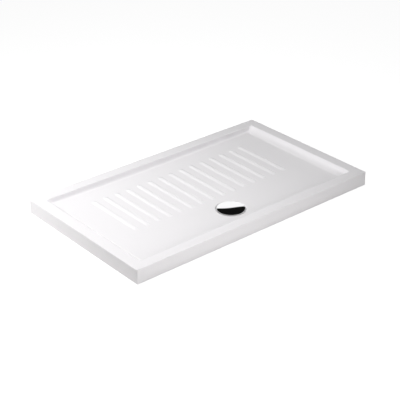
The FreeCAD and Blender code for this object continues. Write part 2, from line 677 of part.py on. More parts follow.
def make_trap_body():
    """The moulded bowl under the tray, with three posts for the screws and a hole for the outlet."""
    body = turned_part("trap_body", bowl_outside())
    inner_round = "(bowl_round - bowl_wall)"
    turn(body, "bowl_room_inside", [
        ("0", BOWL_FLOOR), (f"(bowl_radius - {inner_round})", BOWL_FLOOR, f"(-{inner_round})"),
        ("bowl_radius", f"({BOWL_FLOOR} + {inner_round})"), ("bowl_radius", f"({BODY_TOP} + {BEYOND})"),
        ("0", f"({BODY_TOP} + {BEYOND})")], cut=True)
    turn(body, "outlet_hole", [
        (OUTLET_START, OUTLET_LEVEL), ("outlet_reach", OUTLET_LEVEL),
        ("outlet_reach", f"({OUTLET_LEVEL} + outlet_bore_radius)"),
        (OUTLET_START, f"({OUTLET_LEVEL} + outlet_bore_radius)")],
        "YZ_Plane", cut=True, axis=((OUTLET_START, OUTLET_LEVEL), ("outlet_reach", OUTLET_LEVEL)))
    add_screw_posts(body)
    return body


def make_trap_outlet():
    """The socket for the waste pipe: a tube whose end is cut to the bowl's outside and welded to it."""
    stop_end = f"({NUT_START} - nut_gap)"
    stop_start = f"({stop_end} - outlet_stop_width)"
    stop_radius = f"({OUTLET_RADIUS} + outlet_stop_rise)"
    socket_start = "(outlet_reach - socket_depth)"
    tube = outlet_part("outlet_tube", [
        ("outlet_bore_radius", "0"), (OUTLET_RADIUS, "0"), (OUTLET_RADIUS, stop_start),
        (stop_radius, stop_start), (stop_radius, stop_end), (OUTLET_RADIUS, stop_end),
        (OUTLET_RADIUS, "outlet_reach"), ("socket_radius", "outlet_reach"),
        ("socket_radius", socket_start), ("outlet_bore_radius", socket_start)])
    return boolean("Part::Cut", "trap_outlet", tube, turned_part("bowl_shape", bowl_outside()))


def add_screw_posts(body):
    """Posts grown out of the bowl's wall, each bored for a brass insert."""
    foot = f"({SCREW_BOSS_TOP} - screw_boss_length)"
    deep = f"(screw_length - flange_thickness - screw_boss_gap + {BEYOND} / 2)"
    for name, radius, level, length, cut in (
            ("post", "screw_boss_radius", foot, "screw_boss_length", False),
            ("insert_hole", "nut_insert_radius", SCREW_BOSS_TOP, "nut_insert_length", True),
            ("tip_hole", "(screw_radius + screw_hole_gap)", SCREW_BOSS_TOP, deep, True)):
        plan = new_sketch(body, f"{name}_plan", height=level)
        draw_circles(plan, radius, "screw_circle_radius", "screw_count")
        add_pad(body, name, plan, length, cut=cut)


def make_pipe_nut():
    """The nut that squeezes the wedge seal onto the pipe, with grip ribs round it."""
    bore = f"({OUTLET_RADIUS} + nut_gap)"
    way = "(socket_radius + slip_washer_gap)"
    body = outlet_part("pipe_nut", [
        (bore, NUT_START), (NUT_RADIUS, NUT_START), (NUT_RADIUS, NUT_END), (way, NUT_END),
        (way, WASHER_END), (bore, WASHER_END)])
    plan = new_sketch(body, "grip_plan", height=NUT_START)
    draw_spokes(plan, "(nut_grip_width / 2)", f"({bore} + nut_wall / 2)",
                f"({NUT_RADIUS} + nut_grip_height)", "nut_grip_count", "(nut_grip_width / 3)")
    add_pad(body, "grips", plan, "(nut_length - nut_wall / 2)")
    return body


def make_pipe_cone_seal():
    bore = "(socket_radius + cone_seal_gap)"
    return outlet_part("pipe_cone_seal", [
        (bore, "outlet_reach"), (OUTLET_RADIUS, "outlet_reach"),
        (f"({OUTLET_RADIUS} - cone_seal_taper)", SEAL_END), (bore, SEAL_END)])


def make_pipe_slip_washer():
    return outlet_part("pipe_slip_washer", ring("(socket_radius + slip_washer_gap)", OUTLET_RADIUS,
                                                SEAL_END, WASHER_END))


# ---------------------------------------------------------------- the lift-out trap insert
def make_dip_tube():
    """The insert's funnel and dip tube, with the groove for its seal ring and fins for the cup."""
    groove_low = f"({O_RING_LEVEL} - o_ring_radius - groove_gap)"
    groove_high = f"({O_RING_LEVEL} + o_ring_radius + groove_gap)"
    bore = "(tube_radius - insert_wall)"
    body = turned_part("dip_tube", [
        (bore, TUBE_END), ("tube_radius", TUBE_END), ("tube_radius", FUNNEL_END),
        (NECK_RADIUS, COLLAR_END), (NECK_RADIUS, LIP_TOP), (INSERT_RADIUS, LIP_TOP),
        (INSERT_RADIUS, groove_low), (GROOVE_RADIUS, groove_low), (GROOVE_RADIUS, groove_high),
        (INSERT_RADIUS, groove_high), (INSERT_RADIUS, INSERT_RIM), (INSERT_THROAT, INSERT_RIM),
        (INSERT_THROAT, STRAINER_SEAT), (STRAINER_LEDGE, STRAINER_SEAT), (STRAINER_LEDGE, COLLAR_END),
        (bore, FUNNEL_END)])
    plan = new_sketch(body, "fin_plan", height=CUP_FLOOR)
    fin_reach = f"sqrt({CUP_BORE}^2 - fin_thickness^2 / 4)"
    draw_spokes(plan, "(fin_thickness / 2)", "(tube_radius - insert_wall / 2)", fin_reach, "fin_count")
    add_pad(body, "fins", plan, "fin_height")
    return body


def make_insert_o_ring():
    item = doc.addObject("Part::Torus", "insert_o_ring")
    item.setExpression("Radius1", bound(f"{O_RING_OUTSIDE} - o_ring_radius"))
    item.setExpression("Radius2", bound("o_ring_radius"))
    item.setExpression("Placement", bound(
        f"placement(vector(0; {DRAIN_Y}; {O_RING_LEVEL}); rotation(vector(0; 0; 1); 0))"))
    return item


def make_trap_cup():
    """The cup that holds the water in which the dip tube ends."""
    inner_round = "(cup_round - insert_wall)"
    return turned_part("trap_cup", [
        ("0", CUP_UNDER), ("(cup_radius - cup_round)", CUP_UNDER, "(-cup_round)"),
        ("cup_radius", f"({CUP_UNDER} + cup_round)"), ("cup_radius", CUP_RIM), (CUP_BORE, CUP_RIM),
        (CUP_BORE, f"({CUP_FLOOR} + {inner_round})", inner_round),
        (f"({CUP_BORE} - {inner_round})", CUP_FLOOR), ("0", CUP_FLOOR)])


# ---------------------------------------------------------------- the hair strainer
def make_hair_strainer():
    """A dished plate with two rings of holes, and a knob to lift it by."""
    slope_end = f"({STRAINER_LEDGE} - strainer_thickness)"
    dish = f"({STRAINER_SEAT} - strainer_dish)"
    dish_top = f"({dish} + strainer_thickness)"
    knob_top = f"({dish_top} + strainer_knob_height)"
    knob_middle = f"({knob_top} - strainer_knob_radius)"
    knob_foot = f"({knob_middle} - sqrt(strainer_knob_radius^2 - strainer_stem_radius^2))"
    body = turned_part("hair_strainer", [
        ("0", dish), ("strainer_hub_radius", dish), (slope_end, STRAINER_SEAT),
        (STRAINER_RADIUS, STRAINER_SEAT), (STRAINER_RADIUS, f"({STRAINER_SEAT} + strainer_thickness)"),
        (slope_end, f"({STRAINER_SEAT} + strainer_thickness)"), ("strainer_hub_radius", dish_top),
        ("strainer_stem_radius", dish_top), ("strainer_stem_radius", knob_foot, "(-strainer_knob_radius)"),
        ("strainer_knob_radius", knob_middle, "(-strainer_knob_radius)"), ("0", knob_top)])
    for name, count, circle in (("inner", "strainer_inner_holes", "strainer_inner_circle"),
                                ("outer", "strainer_outer_holes", "strainer_outer_circle")):
        plan = new_sketch(body, f"{name}_hole_plan", height=f"({STRAINER_SEAT} + 2 * strainer_thickness)")
        draw_circles(plan, "strainer_hole_radius", circle, count)
        add_pad(body, f"{name}_holes", plan, "(strainer_dish + 3 * strainer_thickness)", cut=True)
    return body


# ---------------------------------------------------------------- the cover and its carrier
def make_cover_carrier():
    """The moulded spider under the cover: a hub with a pin, arms with feet and fingers, and a ring."""
    pin_top = f"({COVER_TOP} - cover_thickness - carrier_pin_gap)"
    body = turned_part("cover_carrier", [
        ("0", CARRIER_UNDER), ("carrier_hub_radius", CARRIER_UNDER), ("carrier_hub_radius", CARRIER_TOP),
        ("carrier_pin_radius", CARRIER_TOP), ("carrier_pin_radius", pin_top), ("0", pin_top)])
    finger_out = "(collar_bore_radius - carrier_finger_gap)"
    ring_inside = f"({CARRIER_RADIUS} - carrier_foot_width)"
    in_hub = "(carrier_hub_radius - carrier_thickness)"
    in_ring = f"({CARRIER_RADIUS} - carrier_foot_width / 2)"
    in_plate = "carrier_thickness / 2"
    for name, low, high, level, height in (
            ("arms", in_hub, in_ring, CARRIER_UNDER, "carrier_thickness"),
            ("feet", ring_inside, f"({CARRIER_RADIUS} - carrier_foot_width / 4)", FLANGE_TOP,
             f"(carrier_foot_height + {in_plate})"),
            ("fingers", f"({finger_out} - carrier_finger_width)", finger_out,
             f"({CARRIER_UNDER} - carrier_finger_length)", f"(carrier_finger_length + {in_plate})")):
        plan = new_sketch(body, f"{name}_plan", height=level)
        draw_spokes(plan, "(carrier_arm_width / 2)", low, high, "carrier_arm_count")
        add_pad(body, name, plan, height)
    plan = new_sketch(body, "carrier_ring_plan", height=CARRIER_UNDER)
    draw_circle(plan, CARRIER_RADIUS)
    draw_circle(plan, ring_inside)
    add_pad(body, "carrier_ring", plan, "carrier_thickness")
    return body


def make_waste_cover():
    """The domed cover with a turned-down edge and a boss for the carrier's pin."""
    dome_inside = f"({DOME_RADIUS} - cover_thickness)"
    bore = "(carrier_pin_radius + carrier_pin_gap)"
    ceiling = f"({COVER_TOP} - cover_thickness)"
    skirt_inside = f"({COVER_RADIUS} - cover_thickness)"
    skirt_end = f"({COVER_EDGE_TOP} - cover_skirt_height)"

    def under(radius):
        return f"({DOME_CENTRE} + sqrt({dome_inside}^2 - {radius}^2))"

    body = turned_part("waste_cover", [
        ("0", ceiling), (bore, ceiling), (bore, CARRIER_TOP), ("cover_boss_radius", CARRIER_TOP),
        ("cover_boss_radius", under("cover_boss_radius"), dome_inside),
        (skirt_inside, under(skirt_inside)), (skirt_inside, skirt_end), (COVER_RADIUS, skirt_end),
        (COVER_RADIUS, COVER_EDGE_TOP, f"(-{DOME_RADIUS})"), ("0", COVER_TOP)])
    edge_radius = value(COVER_RADIUS)
    edge_top = value(COVER_EDGE_TOP)
    round_edges(body, "cover_edge", "cover_edge_radius",
                lambda p: near(p.z, edge_top) and near(math.hypot(p.x, p.y), edge_radius))
    return body


# ---------------------------------------------------------------- make, check and write the parts
PARTS = [
    make_tray_body(), make_waste_cover(), make_cover_carrier(), make_hair_strainer(), make_dip_tube(),
    make_insert_o_ring(), make_trap_cup(), make_waste_flange(), make_flange_screws(),
    make_screw_inserts(), make_flange_gasket(), make_body_gasket(), make_trap_body(), make_trap_outlet(),
    make_pipe_nut(), make_pipe_cone_seal(), make_pipe_slip_washer(),
]
doc.recompute()

for item in doc.Objects:
    if "Invalid" in item.State or "Error" in item.State:
        raise RuntimeError(f"{item.Name} didn't build: {item.getStatusString()}")
os.makedirs("parts", exist_ok=True)
for part in PARTS:
    shape = part.Shape
    if shape.isNull() or not shape.isValid() or shape.Volume <= 0:
        raise RuntimeError(f"{part.Label} has no sound shape")
    shape.exportStep(f"parts/{part.Label}.step")
    box = shape.optimalBoundingBox()
    print(f"{part.Label:18} {len(shape.Solids)} solids {shape.Volume / 1000:9.1f} cm3  z {box.ZMin:.2f} "
          f"to {box.ZMax:.2f}")
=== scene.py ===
# %% [markdown]
# # A fireclay shower tray and its waste
#
# The real object is a slab of glazed fireclay with a ribbed basin, and a round waste that hangs in
# it. The CAD model already holds every piece at its true size, so this lesson only has to make the
# pieces look like what they are. It starts with the tools that all later cells use.

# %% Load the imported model
import json
import math

import bmesh
import bpy
import numpy as np
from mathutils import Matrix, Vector


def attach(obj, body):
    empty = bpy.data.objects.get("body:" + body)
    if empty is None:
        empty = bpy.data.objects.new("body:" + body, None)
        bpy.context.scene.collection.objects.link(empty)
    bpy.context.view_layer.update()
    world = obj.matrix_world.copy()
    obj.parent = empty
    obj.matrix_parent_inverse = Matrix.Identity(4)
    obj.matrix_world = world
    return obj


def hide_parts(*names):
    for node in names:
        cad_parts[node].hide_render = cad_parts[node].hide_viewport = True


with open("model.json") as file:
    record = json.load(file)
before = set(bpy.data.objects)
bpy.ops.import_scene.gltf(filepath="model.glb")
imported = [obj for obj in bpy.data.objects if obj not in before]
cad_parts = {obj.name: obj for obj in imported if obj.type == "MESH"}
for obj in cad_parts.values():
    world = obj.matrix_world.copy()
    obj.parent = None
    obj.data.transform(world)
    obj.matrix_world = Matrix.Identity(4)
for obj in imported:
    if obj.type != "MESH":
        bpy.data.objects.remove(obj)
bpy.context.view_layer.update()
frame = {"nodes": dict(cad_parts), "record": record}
nodes = frame["nodes"]
MM = 0.001

# %% [markdown]
# ## The camera
#
# The photograph looks down at the front left corner from far away, so it has little perspective.
# The place and the lens were worked out from the tray's seven visible corners. A lens is given in
# millimetres on a sensor 36 mm wide, so a focal length known in pixels of a 400 pixel wide picture
# is turned into millimetres first.

# %% Place the camera
PICTURE_PIXELS = 400
SENSOR_MM = 36.0
FOCAL_PIXELS = 1116.3
CAMERA_AT = Vector((-2.6094, -3.0624, 2.1545))
CAMERA_TARGET = Vector((-0.0154, -0.0069, 0.0))

camera = bpy.data.objects.new("camera", bpy.data.cameras.new("camera"))
bpy.context.scene.collection.objects.link(camera)
camera.data.sensor_width = SENSOR_MM
camera.data.lens = FOCAL_PIXELS / PICTURE_PIXELS * SENSOR_MM
camera.location = CAMERA_AT
camera.rotation_euler = (CAMERA_TARGET - CAMERA_AT).to_track_quat("-Z", "Y").to_euler()
camera.data.clip_end = 100
bpy.context.scene.camera = camera
print("lens, mm:", round(camera.data.lens, 2))

# %% [markdown]
# ## Small tools
#
# A hex colour is written for the eye (sRGB), while Blender mixes light in linear numbers, so one
# function turns the first into the second. Another adds a shader node with its settings and links,
# and one starts a material. The last selects a single piece, because an operator works on all that
# is selected.

# %% Tools for colours, nodes and selections
def linear(hex_colour):
    """An sRGB hex colour as the four linear numbers that a colour socket takes."""
    channels = [int(hex_colour[i:i + 2], 16) / 255 for i in (1, 3, 5)]
    return [c / 12.92 if c <= 0.04045 else ((c + 0.055) / 1.055) ** 2.4 for c in channels] + [1.0]


def add_node(tree, kind, inputs=(), **settings):
    """Add a node, set it, and fill its inputs, in their order or by name.

    An input takes a number, a colour, another node's output, or a node, which means its first output.
    """
    node = tree.nodes.new(kind)
    for name, setting in settings.items():
        setattr(node, name, setting)
    for socket, content in inputs.items() if isinstance(inputs, dict) else enumerate(inputs):
        if isinstance(content, bpy.types.Node):
            content = content.outputs[0]
        if isinstance(content, bpy.types.NodeSocket):
            tree.links.new(content, node.inputs[socket])
        else:
            node.inputs[socket].default_value = content
    return node


def new_material(name):
    """A material with an empty node tree, and that tree."""
    material = bpy.data.materials.new(name)
    material.use_nodes = True
    material.node_tree.nodes.clear()
    return material, material.node_tree


def select_only(piece):
    bpy.ops.object.select_all(action="DESELECT")
    piece.select_set(True)
    bpy.context.view_layer.objects.active = piece


bpy.ops.object.select_all(action="DESELECT")
print("white in linear numbers:", linear("#FFFFFF"))

# %% [markdown]
# ## The floor
#
# A shower tray is bedded on the floor, and its trap needs a pocket there. The stage has both: one
# large plane, inset to the pocket's mouth and pushed down. To camera, mirror and glass the floor
# glows a little besides being lit, so that it reads as a white backdrop and still shows a shadow.

# %% Model and light the floor
FLOOR_SIDE = 30.0
FLOOR_HEIGHT = -0.0002      # a hair below the tray's foot, so that the two never share a plane
POCKET_SIZE = (1.0, 0.56)   # the plane is inset to a square of 1 m, and that is scaled by these
POCKET_DEPTH = 0.14
FLOOR_GLOW = 0.92           # light that camera and mirrors see coming from the floor by itself
FLOOR_SEEN = 0.30           # share of the lamps' light that it sends back to them besides

bpy.ops.mesh.primitive_plane_add(size=FLOOR_SIDE, location=(0, 0, FLOOR_HEIGHT))
floor = bpy.context.active_object
floor.name = "floor"
bpy.ops.object.mode_set(mode="EDIT")
bpy.ops.mesh.select_all(action="SELECT")
bpy.ops.mesh.inset(thickness=(FLOOR_SIDE - 1) / 2)
bpy.ops.transform.resize(value=(POCKET_SIZE[0], POCKET_SIZE[1], 1))
bpy.ops.mesh.extrude_region_move(TRANSFORM_OT_translate={"value": (0, 0, -POCKET_DEPTH)})
bpy.ops.object.mode_set(mode="OBJECT")

backdrop, tree = new_material("pale floor")
path = add_node(tree, "ShaderNodeLightPath").outputs
seen = add_node(tree, "ShaderNodeMath", [path["Is Camera Ray"], path["Is Glossy Ray"]], operation="ADD")
seen = add_node(tree, "ShaderNodeMath", [seen, path["Is Transmission Ray"]], operation="ADD", use_clamp=True)
plain = add_node(tree, "ShaderNodeBsdfDiffuse", {"Color": linear("#F2F1F0")})
lit = add_node(tree, "ShaderNodeBsdfDiffuse", {"Color": [FLOOR_SEEN] * 3 + [1]})
glow = add_node(tree, "ShaderNodeEmission", {"Color": [1, 1, 1, 1], "Strength": FLOOR_GLOW})
shown = add_node(tree, "ShaderNodeAddShader", [lit, glow])
mixed = add_node(tree, "ShaderNodeMixShader", [seen, plain, shown])
add_node(tree, "ShaderNodeOutputMaterial", {"Surface": mixed})
floor.data.materials.append(backdrop)
print("floor made, pocket", POCKET_SIZE, "x", POCKET_DEPTH)

# %% [markdown]
# ## The room in the reflections
#
# Chrome shows nothing but its surroundings, so the room is made from what the photographed cover
# mirrors: white near the horizon and black above, behind a slanting arch. Where black meets white on
# the cover gave the arch's numbers. That dark part is a card in front of the camera, and the rest of
# the room fades from white to grey, so that the chrome reads as metal from other sides too. A height
# here is the upward part of a direction of length 1, and a side is its part to the camera's right.

# %% Build the room that the chrome mirrors
CARD_EDGE = (0.526, -0.24, -3.77)   # height of the edge = a + b * side + c * side squared
CARD_EDGE_LOWEST = 0.22
CARD_EDGE_BLUR = 0.012
CARD_BLACK = 0.006
CARD_SIDE = (0.34, 0.44)            # sides between which the card fades out
CARD_TOP = (0.86, 0.92)             # heights between which it ends
CARD_AHEAD = (-0.1, 0.1)            # it stands only in front of the camera
WALL_SPAN = (0.1, 0.95)             # heights between which the wall goes
WALL_GREY = (0.95, 0.40)            # from this light to that
CAMERA_RIGHT = camera.rotation_euler.to_matrix() @ Vector((1, 0, 0))
CAMERA_AHEAD = Vector((-CAMERA_RIGHT.y, CAMERA_RIGHT.x, 0))

bpy.context.scene.view_settings.view_transform = "Standard"
world = bpy.data.worlds.new("studio")
bpy.context.scene.world = world
world.use_nodes = True
tree = world.node_tree
tree.nodes.clear()

direction = add_node(tree, "ShaderNodeTexCoord").outputs["Generated"]
height = add_node(tree, "ShaderNodeSeparateXYZ", [direction]).outputs["Z"]
side, ahead = [
    add_node(tree, "ShaderNodeVectorMath", [direction, axis], operation="DOT_PRODUCT").outputs["Value"]
    for axis in (CAMERA_RIGHT, CAMERA_AHEAD)]

edge = add_node(tree, "ShaderNodeMath", [side, CARD_EDGE[2], CARD_EDGE[1]], operation="MULTIPLY_ADD")
edge = add_node(tree, "ShaderNodeMath", [side, edge, CARD_EDGE[0]], operation="MULTIPLY_ADD")
edge = add_node(tree, "ShaderNodeMath", [edge, CARD_EDGE_LOWEST], operation="MAXIMUM")
above = add_node(tree, "ShaderNodeMath", [height, edge], operation="SUBTRACT")
card = add_node(tree, "ShaderNodeMapRange", [above, -CARD_EDGE_BLUR, CARD_EDGE_BLUR, 1, CARD_BLACK])
off_middle = add_node(tree, "ShaderNodeMath", [side], operation="ABSOLUTE")
reach = add_node(tree, "ShaderNodeMapRange", [off_middle, *CARD_SIDE, 1, 0])
for limit in ([height, *CARD_TOP, 1, 0], [ahead, *CARD_AHEAD, 0, 1]):
    share = add_node(tree, "ShaderNodeMapRange", limit)
    reach = add_node(tree, "ShaderNodeMath", [reach, share], operation="MULTIPLY")
wall = add_node(tree, "ShaderNodeMapRange", [height, *WALL_SPAN, *WALL_GREY])
sharp_room = add_node(tree, "ShaderNodeMix", {"Factor": reach, "A": wall, "B": card})
print("card's edge ahead, degrees up:", round(math.degrees(math.asin(CARD_EDGE[0])), 1))

# %% [markdown]
# ## The room on the glaze
#
# Glaze is softer than chrome. On the photograph each rib has a thin bright line along its left
# shoulder, which is a long lamp behind the tray, mirrored. So all that mirrors less sharply than
# chrome sees a white room with a strip of light in it and a brighter foot of the wall. A ray that
# leaves a perfect mirror is called singular, and that tells the two rooms apart. To the camera the
# world is plain white, and as a lamp it is only a faint fill.

# %% Add the strip and finish the world
STRIP = (0.54, 0.58, 0.64, 0.70)    # heights at which it starts, is full, still is, and ends
STRIP_LIGHT = 2.9
FOOT = (0.28, 0.36)                 # heights between which the wall's foot ends
FOOT_LIGHT = 1.6
FILL = 0.06

strip = add_node(tree, "ShaderNodeMapRange", [height, *STRIP[0:2], 0, STRIP_LIGHT - 1])
strip_end = add_node(tree, "ShaderNodeMapRange", [height, *STRIP[2:4], 1, 0])
foot = add_node(tree, "ShaderNodeMapRange", [height, *FOOT, FOOT_LIGHT, 1])
soft_room = add_node(tree, "ShaderNodeMath", [strip, strip_end, foot], operation="MULTIPLY_ADD")
path = add_node(tree, "ShaderNodeLightPath").outputs
room = add_node(tree, "ShaderNodeMix", {"Factor": path["Is Singular Ray"], "A": soft_room, "B": sharp_room})
mirrors = add_node(tree, "ShaderNodeMath", [path["Is Glossy Ray"], path["Is Transmission Ray"]],
                   operation="ADD", use_clamp=True)
fill, mirrored, backdrop_white = [
    add_node(tree, "ShaderNodeBackground", {"Color": linear("#FFFFFF"), "Strength": strength})
    for strength in (FILL, room, 1.0)]
to_mirrors = add_node(tree, "ShaderNodeMixShader", [mirrors, fill, mirrored])
to_camera = add_node(tree, "ShaderNodeMixShader", [path["Is Camera Ray"], to_mirrors, backdrop_white])
add_node(tree, "ShaderNodeOutputWorld", {"Surface": to_camera})
print("world nodes:", len(tree.nodes))

# %% [markdown]
# ## The lamps
#
# The photograph is a catalogue picture: soft light from a box close to the left, which fades to the
# right, and a weaker one in front. The lamps' places and powers were found by rendering each alone
# and fitting their sum to the tones of the photographed rim, walls, floor and front. None shows in a
# reflection, because the room above already stands for what is mirrored.

# %% Hang the lamps
LAMPS = [
    # name, place and side in metres, power in watts
    ("left_box", (-0.8, 0.3, 1.6), 0.9, 23.0),
    ("ceiling_box", (0, 0, 3.0), 2.0, 7.0),
    ("front_box", (-0.3, -1.8, 0.7), 0.8, 11.7),
    ("low_left_box", (-1.1, 0.7, 0.35), 0.4, 1.9),
]

for name, place, size, power in LAMPS:
    lamp = bpy.data.objects.new(name, bpy.data.lights.new(name, "AREA"))
    bpy.context.scene.collection.objects.link(lamp)
    lamp.data.size = size
    lamp.data.energy = power
    lamp.location = place
    lamp.rotation_euler = (-Vector(place)).to_track_quat("-Z", "Y").to_euler()
    lamp.visible_glossy = False
print("lamps:", [lamp[0] for lamp in LAMPS])

# %% [markdown]
# ## Glazed fireclay
#
# Fireclay is cast, sprayed with white glaze and fired. The glaze is a thin layer of glass: smooth,
# with waves about 14 mm long and a few hundredths of a millimetre high, and an index of refraction
# near 1.5. Under the tray the clay is bare: buff, rough, with grains of ground brick in it. Every
# pattern is laid out in the piece's own space, so its scale comes from a real size, and a bump's
# distance is the real height of its waves.

# %% The two fireclay materials
def scale_of(size_mm):
    """The scale that makes a noise's waves about so many millimetres long."""
    return 1 / (size_mm * MM)


def glazed_fireclay():
    # glaze: glass of index 1.5, polished by the fire to a roughness near 0.14, its waves 14 mm long
    # and 0.03 mm high, and patches of other gloss about 30 mm wide
    material, tree = new_material("white glazed fireclay")
    place = add_node(tree, "ShaderNodeTexCoord").outputs["Object"]
    patches = add_node(tree, "ShaderNodeTexNoise", {"Vector": place, "Scale": scale_of(30), "Detail": 2})
    waves = add_node(tree, "ShaderNodeTexNoise", {"Vector": place, "Scale": scale_of(14), "Detail": 1})
    shader = add_node(tree, "ShaderNodeBsdfPrincipled", {
        "Base Color": linear("#F5F3F5"), "IOR": 1.5,
        "Roughness": add_node(tree, "ShaderNodeMapRange", [patches, 0, 1, 0.12, 0.16]),
        "Normal": add_node(tree, "ShaderNodeBump", {"Height": waves, "Distance": 0.03 * MM})})
    add_node(tree, "ShaderNodeOutputMaterial", {"Surface": shader})
    return material


def raw_fireclay():
    # bare fired clay: rough 0.9, grains 0.8 mm across and 0.1 mm high, stains a few centimetres wide
    material, tree = new_material("raw fireclay")
    place = add_node(tree, "ShaderNodeTexCoord").outputs["Object"]
    stains = add_node(tree, "ShaderNodeTexNoise", {"Vector": place, "Scale": scale_of(35), "Detail": 4})
    grains = add_node(tree, "ShaderNodeTexNoise", {"Vector": place, "Scale": scale_of(0.8), "Detail": 3})
    clay = add_node(tree, "ShaderNodeMix", {
        "Factor": stains, "A": linear("#DFD3BF"), "B": linear("#EDE5D7")}, data_type="RGBA")
    shader = add_node(tree, "ShaderNodeBsdfPrincipled", {
        "Base Color": clay.outputs["Result"], "Roughness": 0.9,
        "Normal": add_node(tree, "ShaderNodeBump", {"Height": grains, "Distance": 0.1 * MM})})
    add_node(tree, "ShaderNodeOutputMaterial", {"Surface": shader})
    return material


print("the glaze's noise scales:", [round(scale_of(size), 1) for size in (30, 14)])

# %% [markdown]
# ## Metals, plastics and rubber
#
# Each of these is one real material, with its own roughness and its own fine texture: chrome is a
# mirror, pressed steel has a soft grain, moulded plastic takes the spark-eroded texture of its
# mould, rubber is dull. The figures are in the comments, and each CAD node gets the finish that its
# slot in the record names.

# %% The other materials
METAL_GRAIN_MM = 0.002      # depth of a rolled or turned grain
GRAIN_SHEEN = 0.04          # how far a plastic's roughness wanders to both sides


def polished_chrome():
    # bright chrome plate on polished metal: a mirror, so its roughness is next to nothing
    material, tree = new_material("polished chrome")
    shader = add_node(tree, "ShaderNodeBsdfPrincipled", {
        "Base Color": linear("#FAFAFB"), "Metallic": 1.0, "Roughness": 0.002})
    add_node(tree, "ShaderNodeOutputMaterial", {"Surface": shader})
    return material


def grained_metal(name, colour, low, high, grain_mm):
    """Metal whose roughness wanders between two values over a fine grain."""
    material, tree = new_material(name)
    place = add_node(tree, "ShaderNodeTexCoord").outputs["Object"]
    grain = add_node(tree, "ShaderNodeTexNoise", {"Vector": place, "Scale": scale_of(grain_mm), "Detail": 3})
    shader = add_node(tree, "ShaderNodeBsdfPrincipled", {
        "Base Color": linear(colour), "Metallic": 1.0,
        "Roughness": add_node(tree, "ShaderNodeMapRange", [grain, 0, 1, low, high]),
        "Normal": add_node(tree, "ShaderNodeBump", {"Height": grain, "Distance": METAL_GRAIN_MM * MM})})
    add_node(tree, "ShaderNodeOutputMaterial", {"Surface": shader})
    return material


def moulded_plastic(name, colour, roughness, texture_mm, depth_mm, index=1.5):
    """Plastic with the fine even texture of its mould."""
    material, tree = new_material(name)
    place = add_node(tree, "ShaderNodeTexCoord").outputs["Object"]
    grain = add_node(tree, "ShaderNodeTexNoise", {"Vector": place, "Scale": scale_of(texture_mm), "Detail": 1})
    sheen = add_node(tree, "ShaderNodeMapRange", [
        grain, 0, 1, roughness - GRAIN_SHEEN, roughness + GRAIN_SHEEN])
    shader = add_node(tree, "ShaderNodeBsdfPrincipled", {
        "Base Color": linear(colour), "IOR": index, "Roughness": sheen,
        "Normal": add_node(tree, "ShaderNodeBump", {"Height": grain, "Distance": depth_mm * MM})})
    add_node(tree, "ShaderNodeOutputMaterial", {"Surface": shader})
    return material


FINISHES = {
    "glazed_fireclay": glazed_fireclay(),
    "raw_fireclay": raw_fireclay(),
    "chromed_cover": polished_chrome(),
    # ABS, index 1.54: texture 0.5 mm wide, 0.01 mm deep
    "carrier_plastic": moulded_plastic("black moulded plastic", "#202224", 0.42, 0.5, 0.010, 1.54),
    "strainer_plastic": moulded_plastic("grey strainer plastic", "#A9ADB1", 0.34, 0.5, 0.006, 1.54),
    # polypropylene, index 1.49: waxy, a little coarser
    "insert_plastic": moulded_plastic("dark grey polypropylene", "#55585C", 0.40, 0.6, 0.012, 1.49),
    "trap_polypropylene": moulded_plastic("white polypropylene", "#E4E3DF", 0.40, 0.6, 0.012, 1.49),
    "nut_plastic": moulded_plastic("charcoal polypropylene", "#2C2E31", 0.44, 0.6, 0.015, 1.49),
    "washer_plastic": moulded_plastic("acetal", "#EBEAE6", 0.30, 0.8, 0.004, 1.48),
    # EPDM, index 1.48: matt, with a bloom 1.5 mm wide
    "seal_rubber": moulded_plastic("black rubber", "#161616", 0.70, 1.5, 0.010, 1.48),
    # grain of rolled steel 0.3 mm wide
    "flange_steel": grained_metal("pressed stainless steel", "#C9C8C6", 0.20, 0.32, 0.3),
    "screw_steel": grained_metal("stainless steel screws", "#CFCECC", 0.16, 0.26, 0.2),
    "insert_brass": grained_metal("turned brass", "#C9A25B", 0.24, 0.34, 0.25),
}

for entry in frame["record"]["subparts"]:
    node = nodes[entry["node"]]
    node.data.materials.clear()
    node.data.materials.append(FINISHES[entry["material_slot"]])
print("finishes:", len(FINISHES))

# %% [markdown]
# ## The fireclay tray
#
# The tray is one casting, glazed all over its top and sides. The CAD mesh has its shape but is
# coarse, and a glossy white surface shows every facet, so the tray is modelled again here, finer.
# Its top is a height for every point: a floor that falls to the drain like a very flat cone, walls
# that lean outwards and meet it in a cove, and ribs that swell out of it. So the way is a grid whose
# lines lie close together only where the surface bends, raised to that height.

# %% The tray's sizes, in millimetres
LENGTH, DEPTH, HEIGHT = 1200.0, 700.0, 60.0
RIM = 48.0                  # width of the flat rim
MOUTH = (LENGTH / 2 - RIM, DEPTH / 2 - RIM)     # half the basin's mouth
MOUTH_EDGE = 4.0            # radius of the edge between rim and wall
END_WALL = {"lean": math.radians(36), "cove": 38.0}
LONG_WALL = {"lean": math.radians(15), "cove": 10.0}
BASIN_CORNER = 10.0
DRAIN_Y = -178.0
RECESS = 61.5               # radius of the drain's recess
FLOOR_AT_DRAIN = 27.0
FALL = 0.017                # rise of the floor per length away from the drain

print("mouth of the basin, mm:", 2 * MOUTH[0], "x", 2 * MOUTH[1])

# %% [markdown]
# ### The floor and the walls
#
# The floor's height is a formula. A wall that leans and ends in a cove is easier the other way
# round: how far inside the mouth it is at a height. A point lies in the basin at every height where
# it is further inside than that, so the surface is found by halving the range of heights again and
# again.

# %% Give every point of the basin its height
TINY = 1e-4                 # how far above the floor a point is tried first
HALVINGS = 40               # enough to reach the last digit of a height


def floor_height(x, y):
    return FLOOR_AT_DRAIN + FALL * (np.hypot(x, y - DRAIN_Y) - RECESS)


